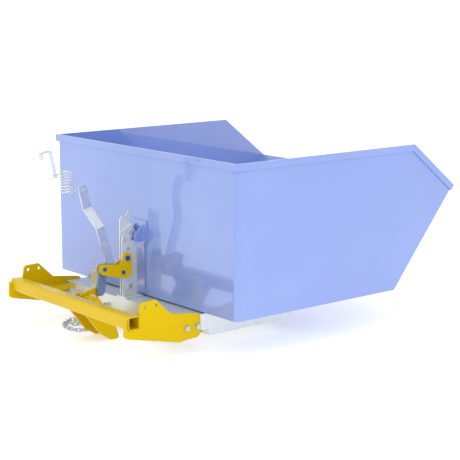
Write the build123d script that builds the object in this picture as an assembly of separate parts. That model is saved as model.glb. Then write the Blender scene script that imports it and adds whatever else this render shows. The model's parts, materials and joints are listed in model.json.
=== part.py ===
from build123d import *
import math
import os

# Self-tipping skip for a forklift: a sheet-steel hopper hinged on a low base with fork pockets,
# latched at the rear and let go by a trigger foot that hangs behind the base.
#
# The model is drawn in the skip's own drawing frame, in millimetres: +X to the right when looking
# forward, +Y forward (the way the hopper tips), +Z up, with Y = 0 on the outside of the hopper's
# rear wall and Z = 0 on the underside of its floor. On export every part moves to the row's frame,
# whose origin is the centre of the base's underside.

# ---------------------------------------------------------------- driving dimensions
HOPPER_WIDTH = 1200.0      # outside width over the side panels
HOPPER_HEIGHT = 584.0      # rear wall and sides
RIM_LENGTH = 923.0         # length of the sides' level top edge
NOSE_Y = 1159.0            # front tip of the sides
NOSE_Z = 399.0
FLOOR_LENGTH = 824.0       # floor's front edge, where the front slope starts
SHEET = 3.0                # hopper sheet thickness
CORNER_RADIUS = 20.0       # bend between the rear wall and the sides
RIM_DEPTH = 27.0           # flat bar round the hopper's edge
RIM_THICKNESS = 5.0

BASE_WIDTH = 808.0
BASE_REAR = -97.0
BASE_FRONT = 428.0
BASE_TOP = -5.0            # top of the base; rubber pads fill the gap to the hopper
BASE_BOTTOM = -93.0
SKIRT_BOTTOM = -68.0       # bottom of the sides' shallow rear end
SKIRT_STEP_Y = 27.0        # where the sides step down to full depth
PLATE = 4.0                # base plate thickness
POCKET_INNER = 164.0       # fork pockets: nearest and furthest X of each, and the roof height
POCKET_OUTER = 364.0
POCKET_ROOF = -29.0
PAD_HEIGHT = 4.7

HINGE_Y = 480.0            # hopper hinge axis, parallel to X
HINGE_Z = -32.0
HINGE_LUG_X = 385.0        # middle of each hinge
HINGE_PIN_RADIUS = 10.0
RUNNING = 0.06             # radial running clearance on every turning pin

TUBE_SIZE = 50.0           # square tube across the back
TUBE_WALL = 4.0
TUBE_CORNER = 8.0
TUBE_Y = -326.0
TUBE_Z = 13.0
FRAME_PLATE = 8.0          # yellow side plates bolted to the base
NUT_ROOM = 16.0            # gap beside the base's rear plate for the frame bolts' nuts
FRAME_BOLTS = [(-86.0, -46.0), (-35.0, -46.0)]
EAR_HOLES = [(-275.0, 65.0), (-225.0, 65.0)]
EAR_HOLE_RADIUS = 6.5

TRIGGER_Y = -280.0         # trigger pivot
TRIGGER_Z = -5.0
TRIGGER_HALF = 58.0        # half width over the foot's two flanges
TRIGGER_PLATE = 8.0
LINK_LOW = (-193.0, 37.0)  # trigger arm to link strap
LINK_HIGH = (-181.0, 124.0)  # link strap to crank
CRANK_PIVOT = (-94.0, 101.0)
CAM_PIN = (-73.0, 155.0)   # pin on the crank that drives the pawl
PAWL_PIVOT = (-66.0, 192.0)
OPEN_PIVOT_RADIUS = 10.0   # wide lower hole of the strap, where the closed linkage is opened
CATCH_BAR = (-30.0, 236.0)
CATCH_BAR_RADIUS = 8.0

TRIGGER_TRAVEL = 26.5      # degrees; the followers' ratios are per degree of the trigger
CRANK_RATIO = 0.61
PAWL_RATIO = 0.80

LEVER_LEAN = 16.7          # degrees from upright, towards the rear
LEVER_WIDTH = 38.0
LEVER_PLATE = 6.0
LEVER_OFFSET = -50.0       # sideways joggle of the lever's upper half
LEVER_EYE = (-234.0, 436.0)
SPRING_X = -60.0
SPRING_FOOT = (-296.0, 426.0)
SPRING_HEAD = (-303.0, 515.0)
SPRING_RADIUS = 21.0
SPRING_WIRE = 2.3
SPRING_TURNS = 8
HOOK_HOLE = (-349.0, 501.0)

CHAIN_EYE = (-100.0, -110.0, -50.0)  # middle of the staple that the safety chain hangs from
FLOOR_Z = -147.0           # what the foot and the chain's slack lie on
BASE_CENTRE_Y = (BASE_REAR + BASE_FRONT) / 2

TO_ROW = Location((0, -BASE_CENTRE_Y, -BASE_BOTTOM))
PARTS = {}


# ---------------------------------------------------------------- helpers
def add(name, *solids):
    """Keeps one sub-part, as one solid or as a group of separate solids."""
    PARTS[name] = list(solids)


def box(x0, x1, y0, y1, z0, z1):
    """A block between two corners."""
    centre = Location(((x0 + x1) / 2, (y0 + y1) / 2, (z0 + z1) / 2))
    return centre * Box(abs(x1 - x0), abs(y1 - y0), abs(z1 - z0))


def outline(points, radii=0):
    """A closed outline with rounded corners, as a face in the sketch plane."""
    if radii == 0:
        return make_face(Polyline(*points, close=True))
    if not isinstance(radii, (int, float)):
        radii = list(radii)
    return make_face(FilletPolyline(*points, radius=radii, close=True))


def side_plate(points, x0, x1, radii=0, holes=()):
    """A plate that lies fore and aft: (y, z) outline, from x0 to x1, with (y, z, radius) holes."""
    plate = extrude(Plane.YZ.offset(x0) * outline(points, radii), amount=x1 - x0)
    for y, z, radius in holes:
        plate -= cross_pin(y, z, radius, x0 - 1, x1 + 1)
    return plate


def cross_plate(points, y0, y1, radii=0):
    """A plate that lies across: (x, z) outline, from y0 to y1."""
    face = Plane.XZ.offset(-y0) * outline(points, radii)
    return extrude(face, amount=-(y1 - y0))


def cross_pin(y, z, radius, x0, x1):
    """A round bar parallel to X."""
    return Location(((x0 + x1) / 2, y, z), (0, 90, 0)) * Cylinder(radius, x1 - x0)


def hex_head(y, z, x0, x1, flats):
    """A hexagon bolt head or nut parallel to X."""
    face = RegularPolygon(flats / 2, 6, major_radius=False)
    return extrude(Plane.YZ.offset(x0) * Location((y, z)) * face, amount=x1 - x0)


def turned(point, pivot, degrees):
    """A (y, z) point turned about a pivot, positive from +Y towards +Z."""
    angle = math.radians(degrees)
    y, z = point[0] - pivot[0], point[1] - pivot[1]
    return (pivot[0] + y * math.cos(angle) - z * math.sin(angle),
            pivot[1] + y * math.sin(angle) + z * math.cos(angle))


def mirrored(solid):
    """The same piece on the other side of the middle plane."""
    return solid.mirror(Plane.YZ)


def pair(name, solid_right):
    """A right-hand piece and its mirror image as two sub-parts."""
    add(name + "_right", solid_right)
    add(name + "_left", mirrored(solid_right))


# ---------------------------------------------------------------- hopper
HALF = HOPPER_WIDTH / 2
SLOPE_ANGLE = math.atan2(NOSE_Z, NOSE_Y - FLOOR_LENGTH)


def hopper():
    inside = HALF - SHEET
    profile = [(CORNER_RADIUS, 0), (FLOOR_LENGTH, 0), (NOSE_Y, NOSE_Z),
               (RIM_LENGTH, HOPPER_HEIGHT), (CORNER_RADIUS, HOPPER_HEIGHT)]
    pair("hopper_side", side_plate(profile, inside, HALF))

    bend = Location((HALF - CORNER_RADIUS, CORNER_RADIUS, HOPPER_HEIGHT / 2))
    corner = bend * (Cylinder(CORNER_RADIUS, HOPPER_HEIGHT)
                     - Cylinder(CORNER_RADIUS - SHEET, HOPPER_HEIGHT))
    corner &= box(HALF - CORNER_RADIUS, HALF, 0, CORNER_RADIUS, 0, HOPPER_HEIGHT)
    pair("hopper_corner", corner)
    add("hopper_rear_wall", box(CORNER_RADIUS - HALF, HALF - CORNER_RADIUS, 0, SHEET, 0, HOPPER_HEIGHT))

    floor_face = make_face(Polyline(
        (-inside, CORNER_RADIUS), (CORNER_RADIUS - HALF, CORNER_RADIUS), (CORNER_RADIUS - HALF, SHEET),
        (HALF - CORNER_RADIUS, SHEET), (HALF - CORNER_RADIUS, CORNER_RADIUS), (inside, CORNER_RADIUS),
        (inside, FLOOR_LENGTH), (-inside, FLOOR_LENGTH), close=True))
    add("hopper_floor", extrude(floor_face, amount=SHEET))

    rise = (math.cos(SLOPE_ANGLE), math.sin(SLOPE_ANGLE))
    thickness = (-rise[1] * SHEET, rise[0] * SHEET)
    bend = SHEET * math.tan(SLOPE_ANGLE / 2)
    inner_foot = (FLOOR_LENGTH + thickness[0] + bend * rise[0], thickness[1] + bend * rise[1])
    inner_tip = (NOSE_Y + thickness[0], NOSE_Z + thickness[1])
    slope = side_plate([(FLOOR_LENGTH, 0), (NOSE_Y, NOSE_Z), inner_tip, inner_foot, (FLOOR_LENGTH, SHEET)],
                       -inside, inside)
    add("hopper_front_slope", slope)


def hopper_rim():
    """Flat bar welded round the outside of the hopper's edge, with a bar under the front lip."""
    top = HOPPER_HEIGHT
    edge = math.atan2(HOPPER_HEIGHT - NOSE_Z, NOSE_Y - RIM_LENGTH)
    tip = (NOSE_Y + 4 * math.cos(edge), NOSE_Z - 4 * math.sin(edge))
    inward = (-math.sin(edge), -math.cos(edge))
    inner_tip = (tip[0] + RIM_DEPTH * inward[0], tip[1] + RIM_DEPTH * inward[1])
    inner_knee = (RIM_LENGTH - RIM_DEPTH * math.tan(edge / 2), top - RIM_DEPTH)
    band = [(0, top), (RIM_LENGTH, top), tip, inner_tip, inner_knee, (0, top - RIM_DEPTH)]
    pair("hopper_rim", side_plate(band, HALF, HALF + RIM_THICKNESS))
    rear = box(-HALF - RIM_THICKNESS, HALF + RIM_THICKNESS, -RIM_THICKNESS, 0, top - RIM_DEPTH, top)
    add("hopper_rim_rear", rear)
    rise = (math.cos(SLOPE_ANGLE), math.sin(SLOPE_ANGLE))
    under = (rise[1] * RIM_THICKNESS, -rise[0] * RIM_THICKNESS)
    low = (NOSE_Y - RIM_DEPTH * rise[0], NOSE_Z - RIM_DEPTH * rise[1])
    lip = [low, (NOSE_Y, NOSE_Z), (NOSE_Y + under[0], NOSE_Z + under[1]),
           (low[0] + under[0], low[1] + under[1])]
    add("hopper_lip_bar", side_plate(lip, -HALF, HALF))


def hopper_brackets():
    """Hinge eyes under the floor, and the catch on the rear wall."""
    eye_radius = 22.0
    half_plate = 5.5
    x0, x1 = HINGE_LUG_X - half_plate, HINGE_LUG_X + half_plate
    web = side_plate([(HINGE_Y - 48, 0), (HINGE_Y + 48, 0), (HINGE_Y + 19, HINGE_Z - 8),
                      (HINGE_Y - 19, HINGE_Z - 8)], x0, x1)
    web += cross_pin(HINGE_Y, HINGE_Z, eye_radius, x0, x1)
    web -= cross_pin(HINGE_Y, HINGE_Z, HINGE_PIN_RADIUS + RUNNING, x0 - 1, x1 + 1)
    pair("hinge_eye", web)

    add("catch_back_plate", box(-48, 48, -4, 0, 205, 300))
    gusset = [(-4, 284), (-4, 216), (-38, 216), (-46, 224), (-46, 248)]
    hole = [(CATCH_BAR[0], CATCH_BAR[1], CATCH_BAR_RADIUS)]
    right = side_plate(gusset, 22, 28, holes=hole)
    add("catch_gussets", right, mirrored(right))
    add("catch_bar", cross_pin(CATCH_BAR[0], CATCH_BAR[1], CATCH_BAR_RADIUS, -31, 31))


# ---------------------------------------------------------------- base
def base_plates():
    half = BASE_WIDTH / 2
    top_under = BASE_TOP - PLATE
    add("base_top_plate", box(-half, half, BASE_REAR, BASE_FRONT, top_under, BASE_TOP))

    # Side sheets, with the step from shallow to full depth and one hole for each frame bolt.
    side = [(BASE_REAR, top_under), (BASE_REAR, SKIRT_BOTTOM), (SKIRT_STEP_Y, SKIRT_BOTTOM),
            (SKIRT_STEP_Y, BASE_BOTTOM), (BASE_FRONT, BASE_BOTTOM), (BASE_FRONT, top_under)]
    holes = [(y, z, 8.0) for y, z in FRAME_BOLTS]
    pair("base_side", side_plate(side, half - PLATE, half, holes=holes))

    def end_plate(y0, low, inset=0):
        left, right = -half + PLATE + inset, half - PLATE - inset
        points = [(left, top_under), (left, low)]
        for sign in (-1, 1):
            inner, outer = sign * POCKET_INNER, sign * POCKET_OUTER
            first, last = min(inner, outer), max(inner, outer)
            points += [(first, low), (first, POCKET_ROOF), (last, POCKET_ROOF), (last, low)]
        points += [(right, low), (right, top_under)]
        return cross_plate(points, y0, y0 + PLATE)

    # The rear plate stops short of the sides, which leaves room for the frame bolts' nuts.
    add("base_rear_plate", end_plate(BASE_REAR, SKIRT_BOTTOM, NUT_ROOM))
    add("base_front_plate", end_plate(BASE_FRONT - PLATE, BASE_BOTTOM + PLATE))

    bottom = box(-half + PLATE, half - PLATE, SKIRT_STEP_Y, BASE_FRONT, BASE_BOTTOM, BASE_BOTTOM + PLATE)
    # Lips turned up at the step close the base's rear end between the fork pockets and beside them.
    for x0, x1 in ((POCKET_OUTER + PLATE, half - PLATE), (PLATE - POCKET_INNER, POCKET_INNER - PLATE),
                   (PLATE - half, -POCKET_OUTER - PLATE)):
        bottom += box(x0, x1, SKIRT_STEP_Y, SKIRT_STEP_Y + PLATE, BASE_BOTTOM + PLATE, SKIRT_BOTTOM)
    add("base_bottom_plate", bottom)


def fork_pockets():
    """Two inverted channels between the end plates, closed underneath by the bottom plate."""
    y0, y1 = BASE_REAR + PLATE, BASE_FRONT - PLATE
    low, roof = BASE_BOTTOM + PLATE, POCKET_ROOF
    section = [(POCKET_INNER - PLATE, low), (POCKET_INNER - PLATE, roof + PLATE),
               (POCKET_OUTER + PLATE, roof + PLATE), (POCKET_OUTER + PLATE, low),
               (POCKET_OUTER, low), (POCKET_OUTER, roof), (POCKET_INNER, roof), (POCKET_INNER, low)]
    channel = cross_plate(section, y0, y1)
    step = box(POCKET_INNER - PLATE - 1, POCKET_OUTER + PLATE + 1, y0 - 1, SKIRT_STEP_Y,
               low - 1, SKIRT_BOTTOM)
    pair("fork_pocket", channel - step)


def rest_pads():
    pads = []
    for x in (-300, 300):
        for y in (45, 385):
            pads.append(Location((x, y, BASE_TOP + PAD_HEIGHT / 2)) * Cylinder(22, PAD_HEIGHT))
    add("rest_pads", *pads)


def hinge():
    """Two lug plates at each hinge, welded to the base's front, and a pin through them."""
    lug = 8.0
    gap = 6.0
    low = HINGE_Z - 26
    shape = [(BASE_FRONT, -14), (BASE_FRONT, -64), (HINGE_Y - 14, low), (HINGE_Y + 14, low),
             (HINGE_Y + 25, HINGE_Z - 8), (HINGE_Y + 25, HINGE_Z + 8), (HINGE_Y + 12, HINGE_Z + 20),
             (HINGE_Y - 16, HINGE_Z + 20)]
    hole = [(HINGE_Y, HINGE_Z, HINGE_PIN_RADIUS)]
    inner = side_plate(shape, HINGE_LUG_X - gap - lug, HINGE_LUG_X - gap, holes=hole)
    outer = side_plate(shape, HINGE_LUG_X + gap, HINGE_LUG_X + gap + lug, holes=hole)
    add("hinge_lugs_right", inner, outer)
    add("hinge_lugs_left", mirrored(inner), mirrored(outer))
    x0, x1 = HINGE_LUG_X - gap - lug, HINGE_LUG_X + gap + lug
    pin = cross_pin(HINGE_Y, HINGE_Z, HINGE_PIN_RADIUS, x0 - 8, x1)
    pin += cross_pin(HINGE_Y, HINGE_Z, 15, x1, x1 + 4)
    pin += cross_pin(HINGE_Y, HINGE_Z, 14, x0 - 6, x0 - 2)
    pair("hinge_pin", pin)


# ---------------------------------------------------------------- latch post
POST_INNER = 3.6
POST_OUTER = 8.6


def cam_slot_points():
    """Centres of the cam pin in the pawl's own frame, over the trigger's travel."""
    points = []
    steps = 6
    for i in range(steps + 1):
        trigger = TRIGGER_TRAVEL * i / steps
        pin = turned(CAM_PIN, CRANK_PIVOT, -CRANK_RATIO * trigger)
        points.append(turned(pin, PAWL_PIVOT, -PAWL_RATIO * trigger))
    return points


def slot_cut(points, radius, x0, x1):
    """A slot parallel to X whose centre line runs through (y, z) points."""
    cut = None
    for a, b in zip(points, points[1:]):
        angle = math.degrees(math.atan2(b[1] - a[1], b[0] - a[0]))
        reach = math.hypot(b[0] - a[0], b[1] - a[1])
        middle = Location((0, (a[0] + b[0]) / 2, (a[1] + b[1]) / 2), (angle, 0, 0))
        piece = Location(((x0 + x1) / 2, 0, 0)) * middle * Box(x1 - x0, reach, 2 * radius)
        piece += cross_pin(a[0], a[1], radius, x0, x1)
        piece += cross_pin(b[0], b[1], radius, x0, x1)
        cut = piece if cut is None else cut + piece
    return cut


def latch_post():
    travel = [turned(CAM_PIN, CRANK_PIVOT, -CRANK_RATIO * TRIGGER_TRAVEL * i / 4) for i in range(5)]
    foot_top = BASE_TOP + 8
    low = [(-95, foot_top), (-24, foot_top), (-24, 196), (-41, 206), (-47, 216)]
    lug = [(-95, 128), (-104, 122), (-111, 108), (-111, 92), (-103, 80), (-95, 76)]
    tall = low + [(-47, 300), (-51, 340), (-67, 322), (-84, 322), (-94, 311)] + lug
    short = low + [(-47, 246), (-62, 254), (-86, 254), (-94, 246)] + lug
    holes = [(*CRANK_PIVOT, 6 + RUNNING), (*PAWL_PIVOT, 6.0), (-84, 228, 5.0), (-60, 40, 6.0)]
    for name, shape, sign in (("post_plate_left", tall, -1), ("post_plate_right", short, 1)):
        x0, x1 = sorted((sign * POST_INNER, sign * POST_OUTER))
        plate = side_plate(shape, x0, x1, holes=holes)
        plate -= slot_cut(travel, 6.6, x0 - 1, x1 + 1)
        add(name, plate)
    add("post_foot", box(-30, 30, BASE_REAR, -14, BASE_TOP, foot_top))

    reach = POST_OUTER + 7
    # The upper bolts end flush inside the plates, clear of the pawl as it swings back.
    upper = cross_pin(-84, 228, 5.0, POST_INNER, POST_OUTER) + hex_head(-84, 228, POST_OUTER, reach, 13)
    lower = cross_pin(-60, 40, 6.0, -POST_OUTER, POST_OUTER)
    lower += hex_head(-60, 40, POST_OUTER, reach, 17) + hex_head(-60, 40, -reach, -POST_OUTER, 17)
    add("post_bolts", upper, mirrored(upper), lower)
    pin = cross_pin(*PAWL_PIVOT, 6.0, -POST_OUTER - 2, POST_OUTER + 2)
    add("pawl_pin", pin)


def pawl():
    """Hook between the post plates, with a cam slot that the crank's pin runs in."""
    slot = cam_slot_points()
    py, pz = PAWL_PIVOT
    tail = slot[-1]
    # Along the catch bar's path as the hopper tips, and square to it on the pawl's side.
    reach = math.hypot(HINGE_Y - CATCH_BAR[0], CATCH_BAR[1] - HINGE_Z)
    along = ((CATCH_BAR[1] - HINGE_Z) / reach, (HINGE_Y - CATCH_BAR[0]) / reach)
    square = (-along[1], along[0])

    def by_bar(side, ahead):
        return (CATCH_BAR[0] + side * square[0] + ahead * along[0],
                CATCH_BAR[1] + side * square[1] + ahead * along[1])

    shape = [by_bar(10, -18), by_bar(10, 9.6), by_bar(-8, 9.6), by_bar(-7, 17), by_bar(10, 24),
             (py + 22, pz + 96), (py - 17, pz + 73), (py - 13, pz + 16), (py - 15, pz - 8),
             (tail[0] - 13, tail[1] - 4),
             (tail[0] - 8, tail[1] - 13), (tail[0] + 8, tail[1] - 13), (tail[0] + 15, tail[1] - 4),
             (py + 14, pz - 14), (py + 15, pz + 8)]
    body = side_plate(shape, -3, 3, holes=[(py, pz, 6 + RUNNING)])
    body -= slot_cut(slot, 6.6, -4, 4)
    add("latch_pawl", body)


# ---------------------------------------------------------------- crank, link and lever
CRANK_INNER = 9.2
CRANK_OUTER = 15.2


def crank():
    shape = [(-94, 77), (-54, 84), (-52, 150), (-55, 176), (-92, 178), (-93, 150), (-112, 134),
             (-201, 146), (-204, 106)]
    radii = [6, 14, 6, 17, 17, 10, 12, 18, 18]
    holes = [(*CRANK_PIVOT, 6.0), (*LINK_HIGH, 6.0), (*CAM_PIN, 6.0)]
    right = side_plate(shape, CRANK_INNER, CRANK_OUTER, radii, holes)
    add("crank_plate_right", right)
    add("crank_plate_left", mirrored(right))
    for name, (y, z), head in (("crank_pivot_pin", CRANK_PIVOT, 8), ("crank_link_pin", LINK_HIGH, 8),
                               ("crank_cam_pin", CAM_PIN, 10.5)):
        pin = cross_pin(y, z, 6.0, -CRANK_OUTER - 3, CRANK_OUTER)
        add(name, pin + cross_pin(y, z, head, CRANK_OUTER, CRANK_OUTER + 3))


def link_strap():
    """Strap from the trigger arm up to the crank, thin enough to hang between the crank plates."""
    half = 19.0
    centre = ((LINK_LOW[0] + LINK_HIGH[0]) / 2, (LINK_LOW[1] + LINK_HIGH[1]) / 2)
    reach = math.hypot(LINK_HIGH[0] - LINK_LOW[0], LINK_HIGH[1] - LINK_LOW[1])
    angle = math.degrees(math.atan2(LINK_HIGH[1] - LINK_LOW[1], LINK_HIGH[0] - LINK_LOW[0]))
    strap = Plane.YZ.offset(-4) * Location(centre, (0, 0, angle)) * SlotCenterToCenter(reach, 2 * half)
    strap = extrude(strap, amount=8)
    strap -= cross_pin(*LINK_HIGH, 6 + RUNNING, -6, 6)
    # The lower hole is wide: this is where the closed linkage is opened in the joint tree.
    strap -= cross_pin(*LINK_LOW, OPEN_PIVOT_RADIUS, -6, 6)
    add("link_strap", strap)


def lever():
    """Flat hand lever between the crank plates, joggled sideways, with an eye for the spring."""
    lean = math.radians(LEVER_LEAN)
    up = (-math.sin(lean), math.cos(lean))
    across = (math.cos(lean), math.sin(lean))
    half = LEVER_WIDTH / 2
    thin = LEVER_PLATE / 2
    knee = (-190.5, 289.0)
    knee_top = (-214.5, 361.5)

    def edge(point, side):
        return (point[0] + side * half * across[0], point[1] + side * half * across[1])

    def back(point, distance):
        return (point[0] - up[0] * distance, point[1] - up[1] * distance)

    lower = side_plate([edge(knee, -1), edge(knee, 1), edge(back(knee, 181), 1),
                        edge(back(knee, 190), 0.2), edge(back(knee, 158), -1)], -thin, thin)
    upper_low, eye = knee_top, LEVER_EYE
    upper = side_plate([edge(upper_low, -1), edge(upper_low, 1), edge(eye, 1), edge(eye, -1)],
                       LEVER_OFFSET - thin, LEVER_OFFSET + thin)
    upper += cross_pin(*eye, half, LEVER_OFFSET - thin, LEVER_OFFSET + thin)
    upper -= cross_pin(*eye, 7.0, LEVER_OFFSET - 4, LEVER_OFFSET + 4)

    # The joggle: a flat run that leans sideways between the two upright runs.
    corners = []
    for x, point in ((-thin, knee), (thin, knee), (LEVER_OFFSET + thin, knee_top),
                     (LEVER_OFFSET - thin, knee_top)):
        corners.append((x, point))
    rear_face = Wire([Edge.make_line((corners[i][0], *edge(corners[i][1], -1)),
                                     (corners[(i + 1) % 4][0], *edge(corners[(i + 1) % 4][1], -1)))
                      for i in range(4)])
    step = LEVER_WIDTH
    joggle = Solid.extrude(Face(rear_face), Vector(0, across[0] * step, across[1] * step))
    add("release_lever", lower + joggle + upper)


# ---------------------------------------------------------------- yellow frame
def yellow_frame():
    half_base = BASE_WIDTH / 2
    ty0, ty1 = TUBE_Y - TUBE_SIZE / 2, TUBE_Y + TUBE_SIZE / 2
    tz0 = TUBE_Z - TUBE_SIZE / 2
    gap = 0.4
    corner_gap = 4.0
    points = [(ty0 - 14, 24), (ty0 - corner_gap, 28), (ty0 - corner_gap, tz0 + 8), (ty0, tz0 - gap),
              (ty1 + gap, tz0 - gap), (ty1 + gap, 40), (-293, 84), (-226, 86), (-158, 22),
              (-21, 3), (-17, -88), (-80, -90), (-118, -95), (ty0 + 4, -44), (ty0 - 16, -36)]
    radii = [3, 3, 3, 3, 1, 0, 17, 10, 6, 20, 26, 20, 8, 16, 12]
    holes = [(y, z, 8.0) for y, z in FRAME_BOLTS] + [(y, z, EAR_HOLE_RADIUS) for y, z in EAR_HOLES]
    pair("frame_plate", side_plate(points, half_base, half_base + FRAME_PLATE, radii, holes))

    outer = Rectangle(TUBE_SIZE, TUBE_SIZE)
    outer = fillet(outer.vertices(), TUBE_CORNER)
    inner = Rectangle(TUBE_SIZE - 2 * TUBE_WALL, TUBE_SIZE - 2 * TUBE_WALL)
    inner = fillet(inner.vertices(), TUBE_CORNER - TUBE_WALL)
    reach = half_base + FRAME_PLATE + 3
    section = Plane.YZ.offset(-reach) * Location((TUBE_Y, TUBE_Z)) * (outer - inner)
    add("frame_tube", extrude(section, amount=2 * reach))

    shelf = box(330, half_base, ty1, BASE_REAR, -21, -13)
    pair("frame_shelf", shelf)

    bolts = []
    for sign in (1, -1):
        for y, z in FRAME_BOLTS:
            out = half_base + FRAME_PLATE
            bolt = cross_pin(y, z, 8.0, half_base - PLATE - 16, out)
            bolt += cross_pin(y, z, 11.5, out, out + 2)
            bolt += hex_head(y, z, out + 2, out + 9, 19)
            bolt += hex_head(y, z, half_base - PLATE - 13, half_base - PLATE, 20)
            bolts.append(bolt if sign == 1 else mirrored(bolt))
    add("frame_bolts", *bolts)


# ---------------------------------------------------------------- trigger
def trigger():
    """Foot, arm and pivot: pushing the foot up lifts the arm's end."""
    half, plate = TRIGGER_HALF, TRIGGER_PLATE
    tube_front = TUBE_Y + TUBE_SIZE / 2
    tube_low = TUBE_Z - TUBE_SIZE / 2
    shape = [(-316, tube_low - 1), (-296, tube_low - 1), (-294, 6), (-276, 29), (-240, 29), (-222, 3),
             (-161, -101), (-148, -140), (-155, -147), (-187, -147), (-233, -118)]
    radii = [6, 2, 12, 6, 6, 30, 30, 3, 8, 30, 40]
    hole = [(TRIGGER_Y, TRIGGER_Z, 8 + RUNNING)]
    right = side_plate(shape, half - plate, half, radii, hole)
    left = mirrored(right)

    # The web joins the flanges along their front edges.
    web_inner = half - plate
    web = [(-240, 29), (-222, 3), (-161, -101), (-148, -140), (-156, -140), (-169, -103),
           (-230, -1), (-250, 29)]
    web = side_plate(web, -web_inner, web_inner)
    top = box(-14, web_inner, -276, -244, 23, 29)
    foot = right + left + web + top
    add("trigger_foot", foot)

    arm_shape = [(-281, 29.2), (-276, 38), (-193, 57), (-175, 50), (-172, 30), (-180, 18),
                 (-196, 15), (-238, 29.2)]
    arm_hole = [(*LINK_LOW, 6.0)]
    arm = side_plate(arm_shape, -14, -6, [0, 4, 8, 12, 12, 12, 8, 0], arm_hole)
    add("trigger_arm", arm)
    pin = cross_pin(*LINK_LOW, 6.0, -17, 8) + cross_pin(*LINK_LOW, 13.0, 5, 7)
    add("trigger_link_pin", pin)

    lug = [(tube_front, 15), (tube_front, -4), (tube_front + 6, -16), (TRIGGER_Y - 8, TRIGGER_Z - 15),
           (TRIGGER_Y + 8, TRIGGER_Z - 15), (TRIGGER_Y + 15, TRIGGER_Z), (TRIGGER_Y + 9, TRIGGER_Z + 13),
           (TRIGGER_Y - 2, 11)]
    lug_hole = [(TRIGGER_Y, TRIGGER_Z, 8.0)]
    ear = side_plate(lug, web_inner - 9, web_inner - 1, holes=lug_hole)
    add("trigger_pivot_lugs", ear, mirrored(ear))
    pin = cross_pin(TRIGGER_Y, TRIGGER_Z, 8.0, -half - 2, half + 2)
    pin += cross_pin(TRIGGER_Y, TRIGGER_Z, 12.0, half + 2, half + 6)
    pin += cross_pin(TRIGGER_Y, TRIGGER_Z, 12.0, -half - 6, -half - 2)
    add("trigger_pivot_pin", pin)


# ---------------------------------------------------------------- type plate, spring, hook, chain
def type_plate():
    bracket = box(-252, -200, -73, -70, BASE_TOP, 66) + box(-252, -200, -70, -45, BASE_TOP, BASE_TOP + 3)
    add("type_plate_bracket", bracket)
    add("type_plate", box(-248, -204, -74, -73, 4, 62))


def spring():
    """Tension spring with a straight leg to the lever's eye and a loop through the hook's hole."""
    foot, head = SPRING_FOOT, SPRING_HEAD
    tilt = math.degrees(math.atan2(foot[0] - head[0], head[1] - foot[1]))
    height = math.hypot(head[0] - foot[0], head[1] - foot[1])
    stand = Location((SPRING_X, foot[0], foot[1]), (tilt, 0, 0))
    helix = Helix(height / SPRING_TURNS, height, SPRING_RADIUS)
    wire = stand * helix
    section = Plane(origin=wire @ 0, z_dir=wire % 0) * Circle(SPRING_WIRE)
    coil = sweep(section, path=wire, is_frenet=True)

    start = wire @ 0
    leg_path = FilletPolyline((start.X, start.Y - 2, start.Z - 5), (start.X - 2, start.Y + 12, start.Z - 3),
                              (LEVER_OFFSET - 14, LEVER_EYE[0] - 28, 428),
                              (LEVER_OFFSET - 14, LEVER_EYE[0], LEVER_EYE[1]),
                              (LEVER_OFFSET + 12, LEVER_EYE[0], LEVER_EYE[1]),
                              (LEVER_OFFSET + 12, LEVER_EYE[0] - 12, LEVER_EYE[1] + 8), radius=[5, 5, 5, 5])
    leg = sweep(Plane(origin=leg_path @ 0, z_dir=leg_path % 0) * Circle(SPRING_WIRE), path=leg_path)

    lean = math.radians(12.3)
    out = (-math.cos(lean), -math.sin(lean))
    hole = HOOK_HOLE
    tail_path = FilletPolyline((SPRING_X + 6, -318, 494), (SPRING_X, -330, 505),
                               (SPRING_X, hole[0] + 12, hole[1] + 3),
                               (SPRING_X, hole[0] + 10 * out[0], hole[1] + 10 * out[1]),
                               (SPRING_X, hole[0] + 12 * out[0] + 2, hole[1] + 12 * out[1] - 14),
                               radius=[5, 4, 5])
    tail = sweep(Plane(origin=tail_path @ 0, z_dir=tail_path % 0) * Circle(SPRING_WIRE), path=tail_path)
    add("tension_spring", coil, leg, tail)


def carriage_hook():
    """Flat strip bent over at the top to hang on the truck's fork carriage."""
    thick = 4.0
    width = 22.0
    lean = math.radians(12.3)
    up = (-math.sin(lean), math.cos(lean))
    hole = HOOK_HOLE
    low = (hole[0] - 9 * up[0], hole[1] - 9 * up[1])
    top = (hole[0] + 101 * up[0], hole[1] + 101 * up[1])
    across = (-math.cos(lean), -math.sin(lean))
    far = (top[0] + 45 * across[0], top[1] + 45 * across[1])
    tab = (far[0] - 27 * up[0], far[1] - 27 * up[1])
    outer = [low, top, far, tab]
    inner = [(tab[0] - thick * across[0], tab[1] - thick * across[1]),
             (far[0] - thick * across[0] - thick * up[0], far[1] - thick * across[1] - thick * up[1]),
             (top[0] + thick * across[0] - thick * up[0], top[1] + thick * across[1] - thick * up[1]),
             (low[0] + thick * across[0], low[1] + thick * across[1])]
    x0 = SPRING_X - width / 2
    strip = side_plate(outer + inner, x0, x0 + width, [0, 7, 7, 0, 0, 3, 3, 0])
    middle = Location((SPRING_X, hole[0] + thick / 2 * across[0], hole[1] + thick / 2 * across[1]),
                      (90 + math.degrees(lean), 0, 0))
    strip -= middle * Cylinder(5.0, 3 * thick)
    add("carriage_hook", strip)


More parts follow.
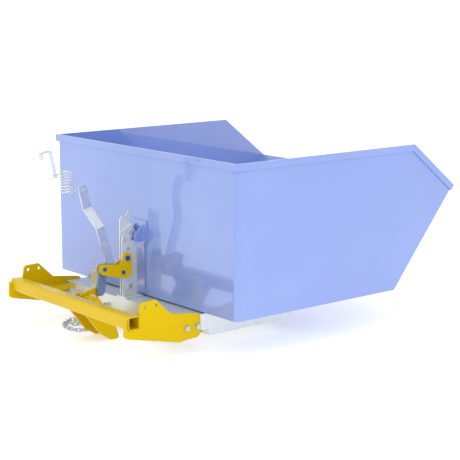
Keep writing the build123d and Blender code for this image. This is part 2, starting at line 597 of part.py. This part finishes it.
def chain():
    """Safety chain: down from a staple on the base's rear plate, with its slack in a heap."""
    wire, inner_length, inner_width = 2.5, 20.0, 8.0
    eye_x, eye_y, eye_z = CHAIN_EYE
    leg = 12.0
    route = FilletPolyline((eye_x - leg, BASE_REAR, eye_z), (eye_x - leg, eye_y, eye_z),
                           (eye_x + leg, eye_y, eye_z), (eye_x + leg, BASE_REAR, eye_z), radius=5)
    add("chain_eye", sweep(Plane(origin=route @ 0, z_dir=route % 0) * Circle(3), path=route))

    radius = inner_width / 2 + wire
    run = inner_length - inner_width
    half = run / 2
    ring = Wire([Edge.make_line((-half, radius, 0), (half, radius, 0)),
                 ThreePointArc((half, radius, 0), (half + radius, 0, 0), (half, -radius, 0)),
                 Edge.make_line((half, -radius, 0), (-half, -radius, 0)),
                 ThreePointArc((-half, -radius, 0), (-half - radius, 0, 0), (-half, radius, 0))])
    link = sweep(Plane(origin=(0, radius, 0), z_dir=(1, 0, 0)) * Circle(wire), path=ring)

    rest = FLOOR_Z + 9.0
    upper = rest + 17
    start = (eye_x, eye_y, eye_z - run / 2 + (inner_length - 1) / 2)
    route = [start, (-100, -110, -72), (-100, -110, -96), (-101, -113, -120), (-106, -127, rest),
             (-112, -150, rest), (-106, -185, rest), (-112, -216, rest), (-142, -236, rest),
             (-182, -236, rest), (-222, -226, rest), (-244, -196, rest), (-236, -162, rest),
             (-204, -150, rest + 2), (-168, -162, upper - 4), (-136, -184, upper), (-140, -216, upper),
             (-172, -224, upper), (-206, -216, upper), (-220, -190, upper), (-196, -172, upper)]
    path = Spline(*route)
    pitch = inner_length - 1.0
    links = []
    count = int(path.length / pitch)
    for i in range(count):
        at = (i + 0.5) * pitch
        point = path.position_at(at, position_mode=PositionMode.LENGTH)
        along = path.tangent_at(at, position_mode=PositionMode.LENGTH)
        side = Vector(0, 0, 1).cross(along)
        side = Vector(1, 0, 0) if side.length < 0.3 else side.normalized()
        up = along.cross(side)
        roll = math.radians(90 * ((i + 1) % 2) + min(45, 11 * i))
        lateral = side * math.cos(roll) + up * math.sin(roll)
        links.append(Plane(origin=point, x_dir=along, z_dir=along.cross(lateral)).location * link)
    add("safety_chain", *links)


# ---------------------------------------------------------------- build and write
def main():
    for section in (hopper, hopper_rim, hopper_brackets, base_plates, fork_pockets, rest_pads, hinge,
                    latch_post, pawl, crank, link_strap, lever, yellow_frame, trigger, type_plate,
                    spring, carriage_hook, chain):
        section()
    os.makedirs("parts", exist_ok=True)
    for name, solids in PARTS.items():
        placed = [TO_ROW * solid for solid in solids]
        shape = placed[0] if len(placed) == 1 else Compound(children=placed)
        export_step(shape, f"parts/{name}.step")
    print(len(PARTS), "sub-parts")


main()
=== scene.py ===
# The looks of a forklift self-tipping skip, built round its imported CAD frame.
# Metres, in the row's frame: origin at the centre of the base's underside, +Y forward, +Z up.
import bmesh
import bpy
import json
import math
import random
from mathutils import Matrix, Vector


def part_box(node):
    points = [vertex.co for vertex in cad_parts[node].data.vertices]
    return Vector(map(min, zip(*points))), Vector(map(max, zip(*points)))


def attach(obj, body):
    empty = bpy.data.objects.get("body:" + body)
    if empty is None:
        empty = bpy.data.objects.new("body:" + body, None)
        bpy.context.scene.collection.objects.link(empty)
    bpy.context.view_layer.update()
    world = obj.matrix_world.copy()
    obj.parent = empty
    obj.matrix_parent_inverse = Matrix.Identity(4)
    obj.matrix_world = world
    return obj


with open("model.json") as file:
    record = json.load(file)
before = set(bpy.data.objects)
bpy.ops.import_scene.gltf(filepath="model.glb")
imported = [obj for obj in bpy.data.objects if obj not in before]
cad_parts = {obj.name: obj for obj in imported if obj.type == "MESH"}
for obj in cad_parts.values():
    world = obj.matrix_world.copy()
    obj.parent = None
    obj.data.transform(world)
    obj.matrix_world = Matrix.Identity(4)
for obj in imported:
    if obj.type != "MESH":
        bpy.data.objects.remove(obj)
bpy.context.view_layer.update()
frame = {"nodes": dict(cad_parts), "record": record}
nodes = frame["nodes"]

# ---------------------------------------------------------------- places taken from the frame
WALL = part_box("hopper_rear_wall")
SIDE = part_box("hopper_side_right")
FLOOR_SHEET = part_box("hopper_floor")
BASE_TOP_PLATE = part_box("base_top_plate")
BASE_FRONT_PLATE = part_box("base_front_plate")
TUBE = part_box("frame_tube")
HALF_WIDTH = SIDE[1].x
BASE_HALF = BASE_TOP_PLATE[1].x
BOTTOM_Z = FLOOR_SHEET[0].z
REAR_Y = WALL[0].y
LOWEST_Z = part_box("trigger_foot")[0].z

MM = 0.001
CAMERA_PLACE = (4.26871, -3.19058, 1.34006)
CAMERA_AZIMUTH = 50.776
CAMERA_ELEVATION = 10.741
LENS = 104.93
SENSOR = 36.0
random.seed(7)


# ---------------------------------------------------------------- node helpers
class Shader:
    """A Principled material and short calls for the nodes that feed it."""

    def __init__(self, name, metallic=0.0, roughness=0.4, **sockets):
        self.material = bpy.data.materials.new(name)
        self.material.use_nodes = True
        self.tree = self.material.node_tree
        self.shader = self.tree.nodes["Principled BSDF"]
        self.shader.inputs["Metallic"].default_value = metallic
        self.shader.inputs["Roughness"].default_value = roughness
        for socket, value in sockets.items():
            self.shader.inputs[socket.replace("_", " ")].default_value = value
        self.coordinates = self.node("ShaderNodeTexCoord").outputs["Object"]

    def node(self, kind, **settings):
        made = self.tree.nodes.new(kind)
        for key, value in settings.items():
            setattr(made, key, value)
        return made

    def link(self, source, target):
        self.tree.links.new(source, target)

    def scaled(self, scale):
        """The object's coordinates, stretched by scale along each axis."""
        mapping = self.node("ShaderNodeMapping")
        mapping.inputs["Scale"].default_value = scale
        self.link(self.coordinates, mapping.inputs["Vector"])
        return mapping.outputs["Vector"]

    def noise(self, size, detail=4.0, roughness=0.55, stretch=(1, 1, 1), distortion=0.0):
        """Noise whose features are about size metres across."""
        made = self.node("ShaderNodeTexNoise")
        made.inputs["Scale"].default_value = 1.0 / size
        made.inputs["Detail"].default_value = detail
        made.inputs["Roughness"].default_value = roughness
        made.inputs["Distortion"].default_value = distortion
        self.link(self.scaled(stretch), made.inputs["Vector"])
        return made.outputs["Fac"]

    def cells(self, size, stretch=(1, 1, 1)):
        """A random value for each cell, such as a spangle."""
        made = self.node("ShaderNodeTexVoronoi", feature="F1")
        made.inputs["Scale"].default_value = 1.0 / size
        self.link(self.scaled(stretch), made.inputs["Vector"])
        split = self.node("ShaderNodeSeparateColor")
        self.link(made.outputs["Color"], split.inputs["Color"])
        return split.outputs["Red"]

    def ramp(self, value, *stops):
        """Colours or greys at places from 0 to 1."""
        made = self.node("ShaderNodeValToRGB")
        elements = made.color_ramp.elements
        while len(elements) < len(stops):
            elements.new(0.5)
        for element, (place, colour) in zip(elements, stops):
            element.position = place
            element.color = colour if isinstance(colour, tuple) else (colour, colour, colour, 1)
        self.link(value, made.inputs["Fac"])
        return made.outputs["Color"]

    def mix(self, amount, first, second, blend="MIX"):
        made = self.node("ShaderNodeMix", data_type="RGBA", blend_type=blend)
        for socket, value in ((made.inputs[0], amount), (made.inputs[6], first), (made.inputs[7], second)):
            if isinstance(value, bpy.types.NodeSocket):
                self.link(value, socket)
            else:
                socket.default_value = value
        return made.outputs[2]

    def times(self, first, second):
        made = self.node("ShaderNodeMath", operation="MULTIPLY")
        for socket, value in ((made.inputs[0], first), (made.inputs[1], second)):
            if isinstance(value, bpy.types.NodeSocket):
                self.link(value, socket)
            else:
                socket.default_value = value
        return made.outputs[0]

    def worn_edges(self, width):
        """Near 1 on the object's convex edges, 0 on its faces."""
        bevel = self.node("ShaderNodeBevel", samples=6)
        bevel.inputs["Radius"].default_value = width
        geometry = self.node("ShaderNodeNewGeometry")
        dot = self.node("ShaderNodeVectorMath", operation="DOT_PRODUCT")
        self.link(bevel.outputs["Normal"], dot.inputs[0])
        self.link(geometry.outputs["Normal"], dot.inputs[1])
        return self.ramp(dot.outputs["Value"], (0.80, 1.0), (0.985, 0.0))

    def bump(self, height, distance, strength=1.0, edge=0.0):
        """Bump from a height, over a softened edge when edge is its width."""
        made = self.node("ShaderNodeBump")
        made.inputs["Distance"].default_value = distance
        made.inputs["Strength"].default_value = strength
        self.link(height, made.inputs["Height"])
        if edge:
            bevel = self.node("ShaderNodeBevel", samples=6)
            bevel.inputs["Radius"].default_value = edge
            self.link(bevel.outputs["Normal"], made.inputs["Normal"])
        self.link(made.outputs["Normal"], self.shader.inputs["Normal"])

    def colour(self, value):
        self.link(value, self.shader.inputs["Base Color"])

    def rough(self, value):
        self.link(value, self.shader.inputs["Roughness"])


# ---------------------------------------------------------------- materials
def paint(name, low, middle, high, chip, rough, wear=1.0, **gloss):
    """Sprayed paint on steel sheet: faint cloudiness, orange peel, and small chips on the edges."""
    m = Shader(name, 0.0, rough, **gloss)
    cloud = m.noise(0.45, 2.0, 0.5)
    body = m.ramp(cloud, (0.30, low), (0.50, middle), (0.70, high))
    fine = m.noise(0.010, 4.0, 0.6)
    body = m.mix(m.ramp(fine, (0.40, 0.0), (0.75, 0.18)), body, low)
    chips = m.noise(0.006, 6.0, 0.65)
    edge = m.times(m.worn_edges(0.0014), m.ramp(chips, (0.55, 0.0), (0.63, wear)))
    body = m.mix(edge, body, chip)
    m.colour(body)
    m.rough(m.ramp(m.noise(0.08, 3.0), (0.30, rough * 0.85), (0.75, rough * 1.25)))
    m.bump(m.noise(0.0040, 2.0, 0.5), 0.00006, 0.30, 0.0014)
    return m.material


def galvanised(name, tint, rough=0.42, metallic=0.55):
    """Hot-dip zinc: spangle cells and pale bloom."""
    m = Shader(name, metallic, rough)
    dark = tuple(c * 0.92 for c in tint) + (1,)
    pale = tuple(min(1.0, c * 1.05) for c in tint) + (1,)
    spangle = m.mix(m.cells(0.010), dark, pale)
    cloud = m.ramp(m.noise(0.09, 5.0, 0.6), (0.35, dark), (0.65, pale))
    m.colour(m.mix(0.75, spangle, cloud))
    m.rough(m.ramp(m.cells(0.010), (0.0, rough * 0.9), (1.0, rough * 1.12)))
    m.bump(m.noise(0.02, 2.0), 0.00006, 0.4, 0.0010)
    return m.material


def plated(name, low, high, rough, grain=(1, 1, 1), metallic=0.85):
    """Plated or rolled bar: a fine grain, and dull patches."""
    m = Shader(name, metallic, rough)
    grain_noise = m.noise(0.004, 3.0, 0.5, stretch=grain)
    patches = m.noise(0.03, 4.0, 0.55)
    body = m.ramp(patches, (0.30, low), (0.70, high))
    body = m.mix(m.ramp(grain_noise, (0.40, 0.0), (0.70, 0.25)), body, low)
    m.colour(body)
    m.rough(m.ramp(patches, (0.30, rough * 0.8), (0.75, rough * 1.3)))
    m.bump(grain_noise, 0.00002, 0.5, 0.0006)
    return m.material


def rubber(name):
    m = Shader(name, 0.0, 0.75)
    m.colour(m.ramp(m.noise(0.004, 4.0), (0.3, (0.012, 0.012, 0.013, 1)), (0.7, (0.035, 0.035, 0.036, 1))))
    m.bump(m.noise(0.0015, 4.0), 0.0001, 0.6, 0.0008)
    return m.material


def label_plate(name):
    """Blank anodised plate: brushed along its length."""
    m = Shader(name, 0.75, 0.32)
    brushed = m.noise(0.0015, 4.0, 0.6, stretch=(0.05, 1, 1))
    m.colour(m.ramp(brushed, (0.3, (0.62, 0.66, 0.70, 1)), (0.7, (0.86, 0.89, 0.92, 1))))
    m.bump(brushed, 0.00003, 0.5, 0.0005)
    return m.material


MATERIALS = {
    "hopper_paint": paint("hopper_blue", (0.172, 0.270, 0.655, 1), (0.188, 0.288, 0.680, 1),
                          (0.204, 0.306, 0.705, 1), (0.40, 0.50, 0.72, 1), 0.22, 0.4,
                          Coat_Weight=1.0, Coat_Roughness=0.025, Coat_IOR=1.75),
    "frame_paint": paint("frame_yellow", (0.610, 0.405, 0.001, 1), (0.655, 0.440, 0.001, 1),
                         (0.695, 0.475, 0.002, 1), (0.34, 0.22, 0.02, 1), 0.27, 0.7,
                         Specular_IOR_Level=0.75, Specular_Tint=(1.0, 0.80, 0.02, 1)),
    "pin_paint": plated("pin_blue", (0.010, 0.060, 0.360, 1), (0.030, 0.120, 0.620, 1), 0.28, metallic=0.5),
    "galvanised": galvanised("zinc_dipped", (0.74, 0.77, 0.76), 0.32, 0.55),
    "zinc_fastener": plated("zinc_fastener", (0.42, 0.48, 0.45, 1), (0.62, 0.68, 0.65, 1), 0.32),
    "strap_steel": plated("strap_steel", (0.165, 0.255, 0.385, 1), (0.215, 0.315, 0.460, 1), 0.30,
                          metallic=0.5),
    "bar_steel": plated("bar_steel", (0.58, 0.62, 0.70, 1), (0.66, 0.70, 0.78, 1), 0.20, metallic=0.75),
    "spring_steel": plated("spring_wire", (0.55, 0.58, 0.62, 1), (0.78, 0.80, 0.84, 1), 0.26),
    "chain_steel": plated("chain_steel", (0.45, 0.48, 0.50, 1), (0.68, 0.71, 0.73, 1), 0.34),
    "pad_rubber": rubber("pad_rubber"),
    "plate_aluminium": label_plate("blank_plate"),
}
WELD = plated("weld_bead", (0.50, 0.52, 0.54, 1), (0.66, 0.68, 0.69, 1), 0.45, metallic=0.6)


def finish_nodes():
    """Each CAD node takes its slot's material."""
    slots = {part["node"]: part["material_slot"] for part in frame["record"]["subparts"]}
    for name, node in nodes.items():
        node.data.materials.clear()
        node.data.materials.append(MATERIALS[slots[name]])


# ---------------------------------------------------------------- mesh helpers
def piece(name, mesh, slot, body, material=None, smooth=True):
    """Puts a finished bmesh in the scene as a named piece that rides on a body."""
    data = bpy.data.meshes.new(name)
    mesh.normal_update()
    mesh.to_mesh(data)
    mesh.free()
    made = bpy.data.objects.new(name, data)
    bpy.context.scene.collection.objects.link(made)
    data.materials.append(material or MATERIALS[slot])
    for face in data.polygons:
        face.use_smooth = smooth
    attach(made, body)
    return made


def circle(radius, sides=12):
    return [(radius * math.cos(2 * math.pi * i / sides), radius * math.sin(2 * math.pi * i / sides))
            for i in range(sides)]


def weld(name, start, end, radius, slot, body, material=None):
    """A weld bead: a rod along a straight seam, with rippled, slightly uneven runs."""
    start, end = Vector(start), Vector(end)
    length = (end - start).length
    step = radius * 0.55
    count = max(4, int(length / step))
    mesh = bmesh.new()
    rings = []
    along = (end - start).normalized()
    side = along.orthogonal().normalized()
    up = along.cross(side)
    for i in range(count + 1):
        t = i / count
        ripple = 1 + 0.13 * math.sin(i * math.pi / 2) + random.uniform(-0.05, 0.05)
        taper = min(1.0, 0.35 + 4 * min(t, 1 - t) * length / 0.03)
        r = radius * ripple * taper
        centre = start + along * (length * t)
        rings.append([mesh.verts.new(centre + side * (r * a) + up * (r * b)) for a, b in circle(1.0, 8)])
    for first, second in zip(rings, rings[1:]):
        for j in range(8):
            mesh.faces.new((first[j], first[(j + 1) % 8], second[(j + 1) % 8], second[j]))
    mesh.faces.new(list(reversed(rings[0])))
    mesh.faces.new(rings[-1])
    return piece(name, mesh, slot, body, material)


# ---------------------------------------------------------------- softened CAD edges
def soften():
    """A small real bevel on the edges of the CAD nodes named by a prefix in widths; the node's own mesh stays as it
    is.
    """
    widths = {"base_top_plate": 3.0, "hopper_rim": 1.6, "frame_": 1.2, "crank_plate": 1.0,
              "link_strap": 1.0, "release_lever": 1.0,
              "trigger_foot": 1.0, "base_": 0.8, "post_": 0.6, "hinge_": 0.8, "carriage": 0.8}
    for name, node in nodes.items():
        width = next((w for key, w in widths.items() if name.startswith(key)), 0.0)
        if not width:
            continue
        bevel = node.modifiers.new("soft_edges", "BEVEL")
        bevel.width = width * MM
        bevel.segments = 2
        bevel.limit_method = "ANGLE"
        bevel.angle_limit = math.radians(40)
        bevel.use_clamp_overlap = True
        bevel.harden_normals = False


# ---------------------------------------------------------------- welds
def hopper_welds():
    """Beads where the hopper's plates meet, inside and out."""
    inside = HALF_WIDTH - 4 * MM
    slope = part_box("hopper_front_slope")
    knee = Vector((0, slope[0].y, BOTTOM_Z))
    nose = Vector((0, SIDE[1].y, slope[1].z))
    for sign, side in ((1, "right"), (-1, "left")):
        x = sign * inside
        weld(f"floor_seam_{side}", (x, REAR_Y + 22 * MM, BOTTOM_Z + 4 * MM), (x, knee.y, BOTTOM_Z + 4 * MM),
             3.0 * MM, "hopper_paint", "hopper")
        lift = Vector((0, -2.5, 2.5)) * MM
        weld(f"slope_seam_{side}", Vector((x, knee.y, knee.z)) + lift, Vector((x, nose.y, nose.z)) + lift,
             3.0 * MM, "hopper_paint", "hopper")
        for place in (-60, 60):
            edge = sign * (BASE_HALF - 19 * MM)
            weld(f"eye_weld_{side}_{'in' if place < 0 else 'out'}",
                 (edge + place / 10 * MM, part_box("hinge_eye_right")[0].y, BOTTOM_Z - 1 * MM),
                 (edge + place / 10 * MM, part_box("hinge_eye_right")[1].y, BOTTOM_Z - 1 * MM),
                 2.6 * MM, "hopper_paint", "hopper")
    weld("knee_seam", (-inside, knee.y - 1 * MM, BOTTOM_Z + 4 * MM),
         (inside, knee.y - 1 * MM, BOTTOM_Z + 4 * MM),
         2.5 * MM, "hopper_paint", "hopper")


def catch_welds():
    low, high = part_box("catch_gussets")
    for sign in (1, -1):
        for edge in (22, 28):
            x = sign * edge * MM
            weld(f"catch_weld_{'r' if sign > 0 else 'l'}_{edge}", (x, high.y, low.z + 2 * MM),
                 (x, high.y, high.z - 2 * MM), 2.4 * MM, "hopper_paint", "hopper")


def frame_welds():
    """Beads round the tube's ends and along the shelves."""
    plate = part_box("frame_plate_right")
    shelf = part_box("frame_shelf_right")
    for sign, side in ((1, "right"), (-1, "left")):
        inner = sign * (plate[0].x - 1 * MM)
        weld(f"tube_front_weld_{side}", (inner, TUBE[1].y + 1 * MM, TUBE[0].z + 6 * MM),
             (inner, TUBE[1].y + 1 * MM, TUBE[1].z - 5 * MM), 3.0 * MM, "frame_paint", "base")
        weld(f"tube_low_weld_{side}", (inner, TUBE[0].y + 6 * MM, TUBE[0].z - 1 * MM),
             (inner, TUBE[1].y - 5 * MM, TUBE[0].z - 1 * MM), 3.0 * MM, "frame_paint", "base")
        weld(f"shelf_weld_{side}", (inner, shelf[0].y, shelf[1].z + 1 * MM),
             (inner, shelf[1].y, shelf[1].z + 1 * MM),
             3.0 * MM, "frame_paint", "base")
        weld(f"shelf_tube_weld_{side}", (sign * shelf[0].x, TUBE[1].y + 1 * MM, shelf[1].z + 1 * MM),
             (sign * shelf[1].x, TUBE[1].y + 1 * MM, shelf[1].z + 1 * MM), 3.0 * MM, "frame_paint", "base")


def post_welds():
    """Beads at the foot of the latch post."""
    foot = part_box("post_foot")
    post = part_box("post_plate_right")
    for sign, side in ((1, "right"), (-1, "left")):
        x = sign * (post[1].x + 1 * MM)
        weld(f"post_weld_{side}", (x, post[0].y + 18 * MM, foot[1].z + 1 * MM),
             (x, post[1].y, foot[1].z + 1 * MM),
             2.6 * MM, "galvanised", "base", WELD)
        edge = foot[1].x if sign > 0 else foot[0].x
        weld(f"foot_weld_{side}", (edge + sign * 1 * MM, foot[0].y, foot[0].z + 1.5 * MM),
             (edge + sign * 1 * MM, foot[1].y, foot[0].z + 1.5 * MM), 3.0 * MM, "galvanised", "base", WELD)


def base_welds():
    """Stitch welds between the hinge lugs and the base."""
    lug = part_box("hinge_lugs_right")
    for sign, side in ((1, "right"), (-1, "left")):
        for number, x in enumerate((lug[0].x, lug[0].x + 8 * MM, lug[1].x - 8 * MM, lug[1].x)):
            weld(f"lug_weld_{side}_{number}", (sign * x, BASE_FRONT_PLATE[1].y + 1 * MM, lug[0].z + 2 * MM),
                 (sign * x, BASE_FRONT_PLATE[1].y + 1 * MM, lug[1].z - 8 * MM), 2.6 * MM, "galvanised", "base", WELD)


# ---------------------------------------------------------------- room, light, camera
def floor():
    """A wide pale floor: only a plane, just under the lowest piece."""
    bpy.ops.mesh.primitive_plane_add(size=400, location=(0, 0, LOWEST_Z - 1 * MM))
    plane = bpy.context.object
    plane.name = "studio_floor"
    m = Shader("studio_floor", 0.0, 0.9)
    m.colour(m.ramp(m.noise(3.0, 2.0), (0.3, (0.80, 0.80, 0.81, 1)), (0.7, (0.84, 0.84, 0.85, 1))))
    m.shader.inputs["Emission Color"].default_value = (1, 1, 1, 1)
    m.shader.inputs["Emission Strength"].default_value = 0.42
    plane.data.materials.append(m.material)


def area_light(name, place, aim, size, watts, tint=(1, 1, 1)):
    light = bpy.data.lights.new(name, "AREA")
    light.shape = "RECTANGLE"
    light.size, light.size_y = size
    light.energy = watts
    light.color = tint
    lamp = bpy.data.objects.new(name, light)
    lamp.location = place
    lamp.rotation_mode = "QUATERNION"
    lamp.rotation_quaternion = (Vector(aim) - Vector(place)).to_track_quat("-Z", "Y")
    bpy.context.scene.collection.objects.link(lamp)


def lights():
    world = bpy.data.worlds.new("studio")
    world.use_nodes = True
    background = world.node_tree.nodes["Background"]
    background.inputs["Color"].default_value = (1, 1, 1, 1)
    background.inputs["Strength"].default_value = 1.0
    bpy.context.scene.world = world
    bpy.context.scene.view_settings.view_transform = "Standard"
    centre = (0, 0.3, 0.35)
    area_light("key", (4.5, -0.8, 3.0), centre, (3.0, 3.0), 38)
    area_light("rear_fill", (-1.5, -4.5, 1.6), (0, -0.4, 0.1), (2.5, 1.5), 10)
    area_light("top", (0.0, 0.5, 4.5), centre, (4.0, 4.0), 26)


def camera():
    data = bpy.data.cameras.new("camera")
    data.lens = LENS
    data.sensor_width = SENSOR
    data.clip_end = 200
    made = bpy.data.objects.new("camera", data)
    a, e = math.radians(CAMERA_AZIMUTH), math.radians(CAMERA_ELEVATION)
    right = Vector((math.cos(a), math.sin(a), 0))
    back = Vector((math.sin(a) * math.cos(e), -math.cos(a) * math.cos(e), math.sin(e)))
    up = back.cross(right)
    turn = Matrix((right, up, back)).transposed().to_4x4()
    made.matrix_world = Matrix.Translation(CAMERA_PLACE) @ turn
    bpy.context.scene.collection.objects.link(made)
    bpy.context.scene.camera = made


camera()
lights()
floor()
finish_nodes()
soften()
hopper_welds()
catch_welds()
frame_welds()
post_welds()
base_welds()
